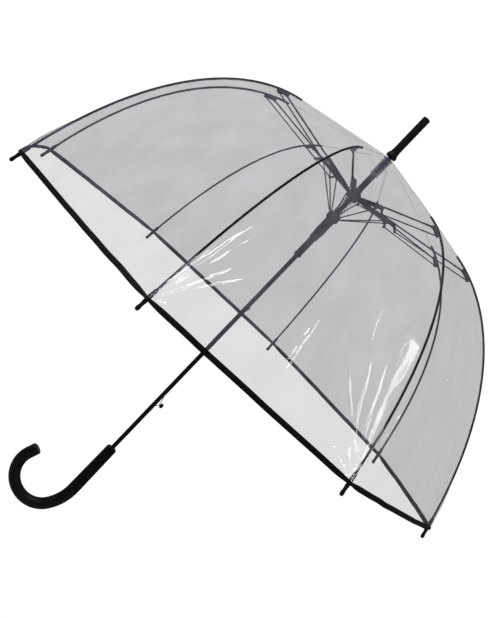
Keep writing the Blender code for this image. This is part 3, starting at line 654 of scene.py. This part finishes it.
# ---- ribs and tips ----
def make_tips():
    """Turned tip caps with a rounded nose, a waist and a bead where the binding is tied."""
    end, slope = rib_curve(1.0)
    profile = [(0.0, TIP_OUTSIDE), (0.0018, TIP_OUTSIDE - 0.0001), (0.0027, TIP_OUTSIDE - 0.0020),
               (TIP_RADIUS, TIP_OUTSIDE - 0.0045), (0.0024, TIP_OUTSIDE - 0.0075), (0.0024, 0.0065),
               (TIP_RADIUS, 0.0050), (TIP_RADIUS, 0.0030), (0.0026, 0.0015), (TIP_RADIUS, 0.0),
               (TIP_RADIUS, -0.0030), (0.0025, -TIP_INSIDE + 0.0022), (0.0019, -TIP_INSIDE),
               (0.0015, -TIP_INSIDE)]
    for number in range(1, RIB_COUNT + 1):
        centre = in_rib_plane(number, end.x, end.y)
        along = in_rib_plane(number, end.x + slope.x, end.y + slope.y) - centre
        matrix = Matrix.Translation(centre) @ along.to_track_quat("Z", "Y").to_matrix().to_4x4()
        tip = turned_piece(f"tip_cap_{number}", profile, black_gloss, 28, 0.0007, matrix)
        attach(tip, f"rib_{number}")
        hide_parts(f"tip_{number}")


def make_rib_wires():
    """Round spring-steel ribs, smooth along the whole curve, with a softened top end."""
    steps = 80
    for number in range(1, RIB_COUNT + 1):
        path = []
        for index in range(steps + 1):
            point, _ = rib_curve(index / steps)
            path.append(in_rib_plane(number, point.x, point.y))
        radii = [RIB_RADIUS] * len(path)
        radii[0] = RIB_RADIUS * 0.6
        rib = tube_piece(f"rib_wire_{number}", path, radii, rib_steel, 12)
        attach(rib, f"rib_{number}")


# ---- handle, ferrule and cap ----
def crook_path():
    """Centre line of the handle from its mouth round to the hook's end."""
    lead_radius = (-CROOK_CENTRE[0] - CROOK_RADIUS * math.cos(LEAD_SWEEP)) / (1.0 - math.cos(LEAD_SWEEP))
    lead_start = CROOK_CENTRE[1] + (lead_radius - CROOK_RADIUS) * math.sin(LEAD_SWEEP)
    grip_steps = 12
    lead_steps = 10
    hook_steps = 56
    tail_steps = 6
    points = [(0.0, 0.0, HANDLE_TOP + (lead_start - HANDLE_TOP) * i / grip_steps) for i in range(grip_steps)]
    for index in range(lead_steps):
        angle = LEAD_SWEEP * index / lead_steps
        points.append((lead_radius * (math.cos(angle) - 1.0), 0.0,
                       lead_start - lead_radius * math.sin(angle)))
    for index in range(hook_steps + 1):
        angle = LEAD_SWEEP + (CROOK_SWEEP - LEAD_SWEEP) * index / hook_steps
        points.append((CROOK_CENTRE[0] + CROOK_RADIUS * math.cos(angle), 0.0,
                       CROOK_CENTRE[1] - CROOK_RADIUS * math.sin(angle)))
    tail_x, _, tail_z = points[-1]
    for index in range(1, tail_steps + 1):
        reach = TAIL_LENGTH * index / tail_steps
        points.append((tail_x - reach * math.sin(CROOK_SWEEP), 0.0, tail_z - reach * math.cos(CROOK_SWEEP)))
    return [Vector(p) for p in points]


def make_shaft():
    """Thin-walled steel tube with the two slots that the release button and the catch stand in."""
    sides = 40
    heights = [SHAFT_BOTTOM, SHAFT_BOTTOM + 0.0005]
    for low, high in SHAFT_SLOTS:
        heights += [float(z) for z in np.linspace(heights[-1], low, 12)[1:]]
        heights += [float(z) for z in np.linspace(low, high, 5)[1:]]
    heights += [float(z) for z in np.linspace(heights[-1], SHAFT_TOP, 20)[1:]]
    verts = turned_points([(SHAFT_RADIUS, z) for z in heights], sides)
    faces = []
    for row in range(len(heights) - 1):
        middle = (heights[row] + heights[row + 1]) / 2
        cut = any(low < middle < high for low, high in SHAFT_SLOTS)
        for side in range(sides):
            if cut and side in (0, 1, sides - 1, sides - 2):
                continue
            a = row * sides + side
            b = row * sides + (side + 1) % sides
            faces.append((a, b, b + sides, a + sides))
    tube = new_piece("shaft_tube", verts, faces, dark_steel)
    wall = tube.modifiers.new("wall", "SOLIDIFY")
    wall.thickness = 0.0006
    wall.offset = -1.0
    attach(tube, "root")
    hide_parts("shaft")


def make_crook():
    """Glossy crook with rounded ends and a mouth that meets the collar."""
    path = crook_path()
    travelled = [0.0]
    for a, b in zip(path, path[1:]):
        travelled.append(travelled[-1] + (b - a).length)
    whole = travelled[-1]
    edge = 0.0024
    grip_thickens = 0.08
    mouth_radius = 0.0064
    mouth_depth = 0.0040
    steps = 110
    cuts = [0.0, 0.0002, 0.0006, 0.0012, 0.0018, edge]
    stations = cuts + [edge + (whole - 2 * edge) * i / steps for i in range(1, steps)]
    stations += [whole - cut for cut in reversed(cuts)]
    centres = []
    radii = []
    for s in stations:
        index = min(max(int(np.searchsorted(travelled, s)), 1), len(path) - 1)
        part = (s - travelled[index - 1]) / (travelled[index] - travelled[index - 1])
        centres.append(path[index - 1].lerp(path[index], part))
        body = HANDLE_TOP_RADIUS + (HANDLE_RADIUS - HANDLE_TOP_RADIUS) * min(s / grip_thickens, 1.0)
        near = min(s, whole - s)
        fall = edge - math.sqrt(max(edge * edge - max(edge - near, 0.0) ** 2, 0.0)) if near < edge else 0.0
        radii.append(body - fall)
    sides = 40
    verts = tube_points(centres, radii, sides)
    faces = grid_faces(len(centres), sides, closed=True)
    top_base = len(verts)
    mouth = Vector((0.0, 0.0, HANDLE_TOP))
    for depth in (0.0, mouth_depth):
        for side in range(sides):
            rim = verts[side] - centres[0]
            rim.z = 0.0
            verts.append(mouth + rim.normalized() * mouth_radius - Vector((0.0, 0.0, depth)))
    for side in range(sides):
        after = (side + 1) % sides
        faces.append((side, after, top_base + after, top_base + side))
        faces.append((top_base + side, top_base + after, top_base + sides + after, top_base + sides + side))
    last = len(centres) * sides
    hub = len(verts)
    tail = (centres[-1] - centres[-2]).normalized()
    verts.append(centres[-1] + tail * 0.0001)
    for side in range(sides):
        faces.append((last - sides + side, last - sides + (side + 1) % sides, hub))
    crook = new_piece("crook", verts, faces, black_gloss)
    work = bmesh.new()
    work.from_mesh(crook.data)
    bmesh.ops.recalc_face_normals(work, faces=work.faces)
    work.to_mesh(crook.data)
    work.free()
    crook.data.set_sharp_from_angle(angle=math.radians(50.0))
    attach(crook, "root")
    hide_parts("handle")


def make_turned_fittings():
    """Ferrule, collar and knob, with the rounded edges and grooves of moulded parts."""
    bore = SHAFT_RADIUS + 0.0003
    ferrule = turned_piece("ferrule_cap", [
        (0.0, FERRULE_TIP), (0.0046, FERRULE_TIP - 0.0002), (0.0061, FERRULE_TIP - 0.0016), (0.0061, 0.7350),
        (0.0059, 0.7345), (0.0059, 0.7335), (0.0061, 0.7330), (0.0061, 0.6840), (0.0065, 0.6780),
        (0.0088, 0.6730), (0.0088, 0.6712), (0.0083, 0.6706), (0.0088, 0.6700), (0.0087, FERRULE_BASE),
        (bore, FERRULE_BASE)], black_gloss, 56, 0.0007)
    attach(ferrule, "root")
    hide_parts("ferrule")
    collar = turned_piece("mouth_collar", [
        (bore, HANDLE_TOP + 0.0008), (0.0050, HANDLE_TOP + 0.0008), (0.0061, HANDLE_TOP + 0.0002),
        (0.0061, HANDLE_TOP - 0.0040), (bore, HANDLE_TOP - 0.0040), (bore, HANDLE_TOP + 0.0007)],
        black_satin, 48, 0.0003)
    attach(collar, "root")
    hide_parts("handle_collar")
    inner = 0.0071
    turn = Matrix.Translation((0.0, 0.0, BUTTON_Z)) @ Matrix.Rotation(math.pi / 2, 4, "Y")
    knob = turned_piece("release_knob", [
        (0.0, 0.0130), (0.0016, 0.0129), (0.0031, 0.0122), (0.0041, 0.0108), (0.0041, 0.0092),
        (0.0033, 0.0082), (0.0024, 0.0077), (0.0024, inner), (0.0, inner)],
        black_gloss, 40, 0.0004, turn)
    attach(knob, "release")
    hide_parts("release_button")


def make_spring():
    """Fine round-wire coil between the crown and the runner, with closed end turns."""
    wire = 0.0006
    clearance = 0.0003
    bottom = RUNNER_TOP + clearance + wire
    top = CROWN_BOTTOM - clearance - wire
    turns = 9
    steps = turns * 28
    closing = 0.055
    path = []
    for index in range(steps + 1):
        share = index / steps
        eased = share - closing * math.sin(math.tau * share)
        angle = math.tau * turns * share
        path.append((SPRING_RADIUS * math.cos(angle), SPRING_RADIUS * math.sin(angle),
                     bottom + (top - bottom) * eased))
    coil = tube_piece("opening_coil", path, [wire] * len(path), dark_steel, 10)
    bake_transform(coil)
    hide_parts("opening_spring")


# ---- carried-over CAD nodes ----
def dress_nodes():
    """Gives every CAD node that stays its own finish."""
    satin = ("crown_neck", "crown", "runner", "runner_sleeve")
    bright = ("crown_wire", "runner_wire", "trigger_wire", "closed_catch")
    for name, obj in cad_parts.items():
        finish = dark_steel
        if name in satin:
            finish = black_satin
        if name in bright:
            finish = bright_steel
        if name == "cap_washer":
            finish = clear_plastic
        if name.startswith(("arm_", "link_", "stretcher_")):
            finish = frame_steel
        obj.data.materials.clear()
        obj.data.materials.append(finish)


# ---- stage, lights and camera ----
CAMERA_PLACE = Vector((-0.0032, -1.4586, 0.4474))
CAMERA_TURNS = (math.radians(0.115), math.radians(-3.836), math.radians(43.775))   # yaw, pitch and roll
CAMERA_LENS = 55.2
FLOOR_SIZE = 30.0
FLOOR_Z = -0.95
SEEN_WHITE = 1.02
WORLD_LIGHT = 0.15
KEY_PLACE = (-1.6, -1.2, 2.6)
KEY_TARGET = (0.0, 0.0, 0.4)
KEY_SIZE = 1.6
KEY_POWER = 40.0
FILM_SHEEN_POWER = 7.0
FILL_BOX = ((2.4, -1.6, 0.9), (0.0, 0.0, 0.3), 1.2, 1.8, 12.0)     # place, target, width, height and power
BACK_BOX = ((0.4, 2.6, 1.8), (0.0, 0.0, 0.5), 2.0, 1.2, 14.0)
STRIP_DISTANCE = 1.5
GORE_1 = ("film_right_1", "film_left_2")
GORE_2 = ("film_right_2", "film_left_3")
# Strip lights: name, rib before the panel, distance from the rim, crease's tilt in degrees, length, width,
# power, and the film that mirrors them.
STRIPS = [
    ("strip_right", 2, 0.09, 17.5, 1.3, 0.22, 20.0, GORE_1 + GORE_2),
    ("strip_left", 2, 0.09, -14.0, 1.2, 0.25, 16.0, GORE_1 + GORE_2),
    ("strip_side", 1, 0.20, 13.0, 0.9, 0.20, 12.0, GORE_1),
]


def add_area(name, centre, target, width, height, power):
    """A soft box facing its target."""
    data = bpy.data.lights.new(name, "AREA")
    data.shape = "RECTANGLE"
    data.size = width
    data.size_y = height
    data.energy = power
    obj = bpy.data.objects.new(name, data)
    obj.location = centre
    obj.rotation_mode = "QUATERNION"
    obj.rotation_quaternion = (Vector(target) - Vector(centre)).to_track_quat("-Z", "Y")
    obj.visible_camera = False
    bpy.context.scene.collection.objects.link(obj)
    return obj


def mirrored_by(light, names):
    """Only the named pieces mirror the light, and nothing is lit by it otherwise."""
    receivers = bpy.data.collections.new(light.name)
    for name in names:
        receivers.objects.link(bpy.data.objects[name])
    light.light_linking.receiver_collection = receivers
    light.visible_diffuse = False


def crease_light(name, number, from_rim, tilt, long_side, short_side, power, panels):
    """A strip light that only the named film panels mirror to the camera, where a crease tilts them.

    The crease lies in the middle of the panel after the numbered rib, at a distance from the rim.
    """
    azimuth = np.array(rib_angle(number) - HALF_PANEL)
    length = np.array(RIM_LENGTH - from_rim)
    step_down = 0.004
    step_aside = 0.01
    point = Vector(film_points(azimuth, length, wrinkled=False))
    down = (Vector(film_points(azimuth, length + step_down, wrinkled=False)) - point).normalized()
    aside = (Vector(film_points(azimuth + step_aside, length, wrinkled=False)) - point).normalized()
    normal = Matrix.Rotation(math.radians(tilt), 3, down) @ aside.cross(down).normalized()
    if normal.dot(CAMERA_PLACE - point) < 0.0:
        normal = -normal
    view = (CAMERA_PLACE - point).normalized()
    mirrored = (2.0 * normal.dot(view) * normal - view).normalized()
    light = add_area(name, point + mirrored * STRIP_DISTANCE, point, short_side, long_side, power)
    along = (down - down.dot(mirrored) * mirrored).normalized()
    light.rotation_quaternion = Matrix((along.cross(mirrored), along, mirrored)).transposed().to_quaternion()
    mirrored_by(light, panels)


def seen_white(tree, lit, kind, output):
    """Shows the camera plain white, and lets everything else see the given shader."""
    glow = tree.nodes.new(kind)
    glow.inputs["Color"].default_value = (1.0, 1.0, 1.0, 1.0)
    glow.inputs["Strength"].default_value = SEEN_WHITE
    ray = tree.nodes.new("ShaderNodeLightPath")
    mix = tree.nodes.new("ShaderNodeMixShader")
    tree.links.new(ray.outputs["Is Camera Ray"], mix.inputs[0])
    tree.links.new(lit.outputs[0], mix.inputs[1])
    tree.links.new(glow.outputs[0], mix.inputs[2])
    tree.links.new(mix.outputs[0], tree.nodes[output].inputs["Surface"])


def make_stage():
    """White floor and surround, brighter to the eye than the umbrella's own surroundings."""
    size = FLOOR_SIZE
    mesh = bpy.data.meshes.new("floor")
    corners = ((-size, -size), (size, -size), (size, size), (-size, size))
    mesh.from_pydata([(x, y, FLOOR_Z) for x, y in corners], [], [(0, 1, 2, 3)])
    floor = bpy.data.objects.new("floor", mesh)
    bpy.context.scene.collection.objects.link(floor)
    material = bpy.data.materials.new("floor")
    material.use_nodes = True
    shader = material.node_tree.nodes["Principled BSDF"]
    shader.inputs["Base Color"].default_value = (0.30, 0.30, 0.31, 1.0)
    shader.inputs["Roughness"].default_value = 0.9
    seen_white(material.node_tree, shader, "ShaderNodeEmission", "Material Output")
    mesh.materials.append(material)
    world = bpy.data.worlds.new("studio")
    bpy.context.scene.world = world
    world.use_nodes = True
    plain = world.node_tree.nodes["Background"]
    plain.inputs["Color"].default_value = (1.0, 1.0, 1.0, 1.0)
    plain.inputs["Strength"].default_value = WORLD_LIGHT
    seen_white(world.node_tree, plain, "ShaderNodeBackground", "World Output")




def make_camera():
    """Camera level with the dome, rolled so that the shaft runs across the picture's diagonal."""
    yaw, pitch, roll = CAMERA_TURNS
    ahead = Vector((math.sin(yaw) * math.cos(pitch), math.cos(yaw) * math.cos(pitch), math.sin(pitch)))
    right = ahead.cross(Vector((0.0, 0.0, 1.0))).normalized()
    above = right.cross(ahead)
    across = math.cos(roll) * right + math.sin(roll) * above
    up = -math.sin(roll) * right + math.cos(roll) * above
    data = bpy.data.cameras.new("camera")
    data.lens = CAMERA_LENS
    data.sensor_width = 36.0
    data.clip_start = 0.02
    camera = bpy.data.objects.new("camera", data)
    turned = Matrix((across, up, -ahead)).transposed().to_4x4()
    camera.matrix_world = Matrix.Translation(CAMERA_PLACE) @ turned
    bpy.context.scene.collection.objects.link(camera)
    bpy.context.scene.camera = camera


def make_lights():
    """Large soft boxes for the frame, and strips that the film mirrors as long streaks."""
    pieces = [obj for obj in bpy.context.scene.objects if obj.type == "MESH"]
    film = [obj.name for obj in pieces if obj.name.startswith("film_")]
    hard = [obj.name for obj in pieces if obj.name not in film]
    key = add_area("key", KEY_PLACE, KEY_TARGET, KEY_SIZE, KEY_SIZE, KEY_POWER)
    frame_sheen = add_area("frame_sheen", KEY_PLACE, KEY_TARGET, KEY_SIZE, KEY_SIZE, KEY_POWER)
    film_sheen = add_area("film_sheen", KEY_PLACE, KEY_TARGET, KEY_SIZE, KEY_SIZE, FILM_SHEEN_POWER)
    mirrored_by(frame_sheen, hard)
    mirrored_by(film_sheen, film)
    fill = add_area("fill", *FILL_BOX)
    back = add_area("back", *BACK_BOX)
    for light in (key, fill, back):
        light.visible_glossy = False
    for strip in STRIPS:
        crease_light(*strip)


dress_nodes()
make_film()
make_welds()
make_binding()
make_stitches()
make_rib_wires()
make_tips()
make_shaft()
make_crook()
make_turned_fittings()
make_spring()
make_stage()
make_camera()
make_lights()
bpy.context.scene.view_settings.view_transform = "Standard"

bpy.context.view_layer.update()
